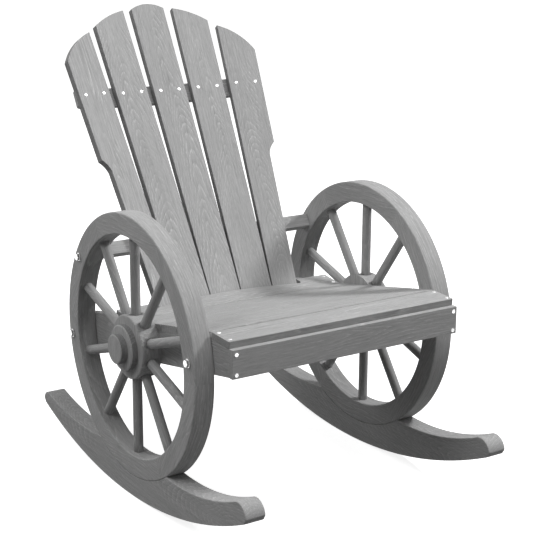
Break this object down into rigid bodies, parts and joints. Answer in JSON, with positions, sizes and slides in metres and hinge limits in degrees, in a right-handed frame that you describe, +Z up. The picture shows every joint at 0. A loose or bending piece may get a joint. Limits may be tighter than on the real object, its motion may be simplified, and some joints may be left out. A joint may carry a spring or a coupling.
{
  "type": "rocking adirondack chair",
  "caption": "Wooden rocking chair with a slatted seat and fanned back, carried between two spoked wagon wheels that stand on curved rockers.",
  "frame": {"origin": "middle of the chair's box, on the floor", "axes": "+Z up, the sitter faces -Y, X runs across the chair through the wheels' axes"},
  "size_m": [0.667, 0.9254, 0.9468],
  "materials": {
    "seat_wood": "weathered grey stain, matt",
    "back_wood": "weathered grey stain, matt",
    "wheel_wood": "weathered grey stain, matt",
    "rocker_wood": "weathered grey stain, matt",
    "rail_wood": "weathered grey stain, matt",
    "screw_steel": "bright zinc",
    "bolt_steel": "bright zinc"
  },
  "bodies": {
    "root": {"apron_screws": "screw_steel", "back_screws": "screw_steel", "back_slat_1": "back_wood", "back_slat_2": "back_wood", "back_slat_3": "back_wood", "back_slat_4": "back_wood", "back_slat_5": "back_wood", "front_apron": "seat_wood", "hub_cap_left": "wheel_wood", "hub_cap_right": "wheel_wood", "hub_disc_left": "wheel_wood", "hub_disc_right": "wheel_wood", "hub_drum_left": "wheel_wood", "hub_drum_right": "wheel_wood", "lower_back_rail": "rail_wood", "middle_back_rail": "rail_wood", "rocker_left": "rocker_wood", "rocker_right": "rocker_wood", "seat_screws": "screw_steel", "seat_slat_front": "seat_wood", "seat_slat_middle_1": "seat_wood", "seat_slat_middle_2": "seat_wood", "seat_slat_middle_3": "seat_wood", "seat_slat_middle_4": "seat_wood", "seat_slat_middle_5": "seat_wood", "seat_slat_rear": "seat_wood", "side_rail_left": "rail_wood", "side_rail_right": "rail_wood", "spoke_left_01": "wheel_wood", "spoke_left_02": "wheel_wood", "spoke_left_03": "wheel_wood", "spoke_left_04": "wheel_wood", "spoke_left_05": "wheel_wood", "spoke_left_06": "wheel_wood", "spoke_left_07": "wheel_wood", "spoke_left_08": "wheel_wood", "spoke_left_09": "wheel_wood", "spoke_left_10": "wheel_wood", "spoke_right_01": "wheel_wood", "spoke_right_02": "wheel_wood", "spoke_right_03": "wheel_wood", "spoke_right_04": "wheel_wood", "spoke_right_05": "wheel_wood", "spoke_right_06": "wheel_wood", "spoke_right_07": "wheel_wood", "spoke_right_08": "wheel_wood", "spoke_right_09": "wheel_wood", "spoke_right_10": "wheel_wood", "upper_back_rail": "rail_wood", "wheel_bolts_left": "bolt_steel", "wheel_bolts_right": "bolt_steel", "wheel_rim_left": "wheel_wood", "wheel_rim_right": "wheel_wood", "wheel_washers_left": "bolt_steel", "wheel_washers_right": "bolt_steel"}
  },
  "joints": []
}
